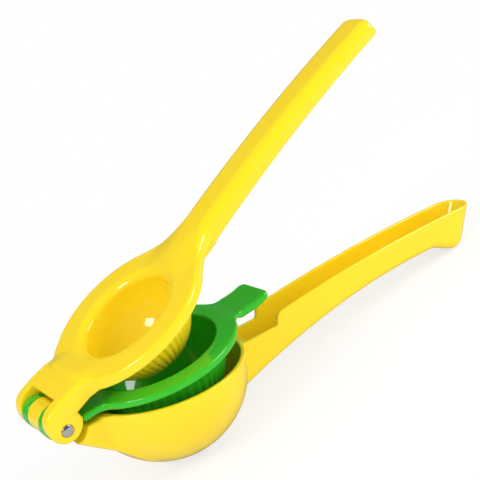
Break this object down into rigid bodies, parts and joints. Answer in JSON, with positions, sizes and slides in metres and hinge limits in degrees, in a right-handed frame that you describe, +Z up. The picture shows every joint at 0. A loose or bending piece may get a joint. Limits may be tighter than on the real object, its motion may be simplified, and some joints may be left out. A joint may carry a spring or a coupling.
{
  "type": "lemon squeezer",
  "caption": "Hinged hand citrus squeezer: a deep lemon bowl, a smaller lime bowl with a thumb tab and a domed press on one pin, with two long handles.",
  "frame": {"origin": "centre of the small flat foot under the lemon bowl, on the surface that the squeezer lies on", "axes": "+Z up, +X along the handles away from the hinge, +Y along the hinge pin"},
  "size_m": [0.2339, 0.072, 0.1223],
  "materials": {
    "yellow_enamel": "glossy lemon yellow enamel on cast aluminium",
    "green_enamel": "glossy leaf green enamel on cast aluminium",
    "pin_steel": "polished steel"
  },
  "bodies": {
    "lemon_bowl_body": {"lemon_bowl_and_handle": "yellow_enamel"},
    "lime_bowl_body": {"lime_bowl": "green_enamel"},
    "press_body": {"press_and_handle": "yellow_enamel", "hinge_pin": "pin_steel"}
  },
  "joints": [
    {"name": "lime_bowl_hinge", "type": "hinge", "parent": "lemon_bowl_body", "child": "lime_bowl_body", "pos_m": [-0.04844, 0, 0.04688], "axis": [0, -1, 0], "range_deg": [-6.5, 53]},
    {"name": "press_hinge", "type": "hinge", "parent": "lime_bowl_body", "child": "press_body", "pos_m": [-0.04844, 0, 0.04688], "axis": [0, -1, 0], "range_deg": [-18.9, 71]}
  ]
}
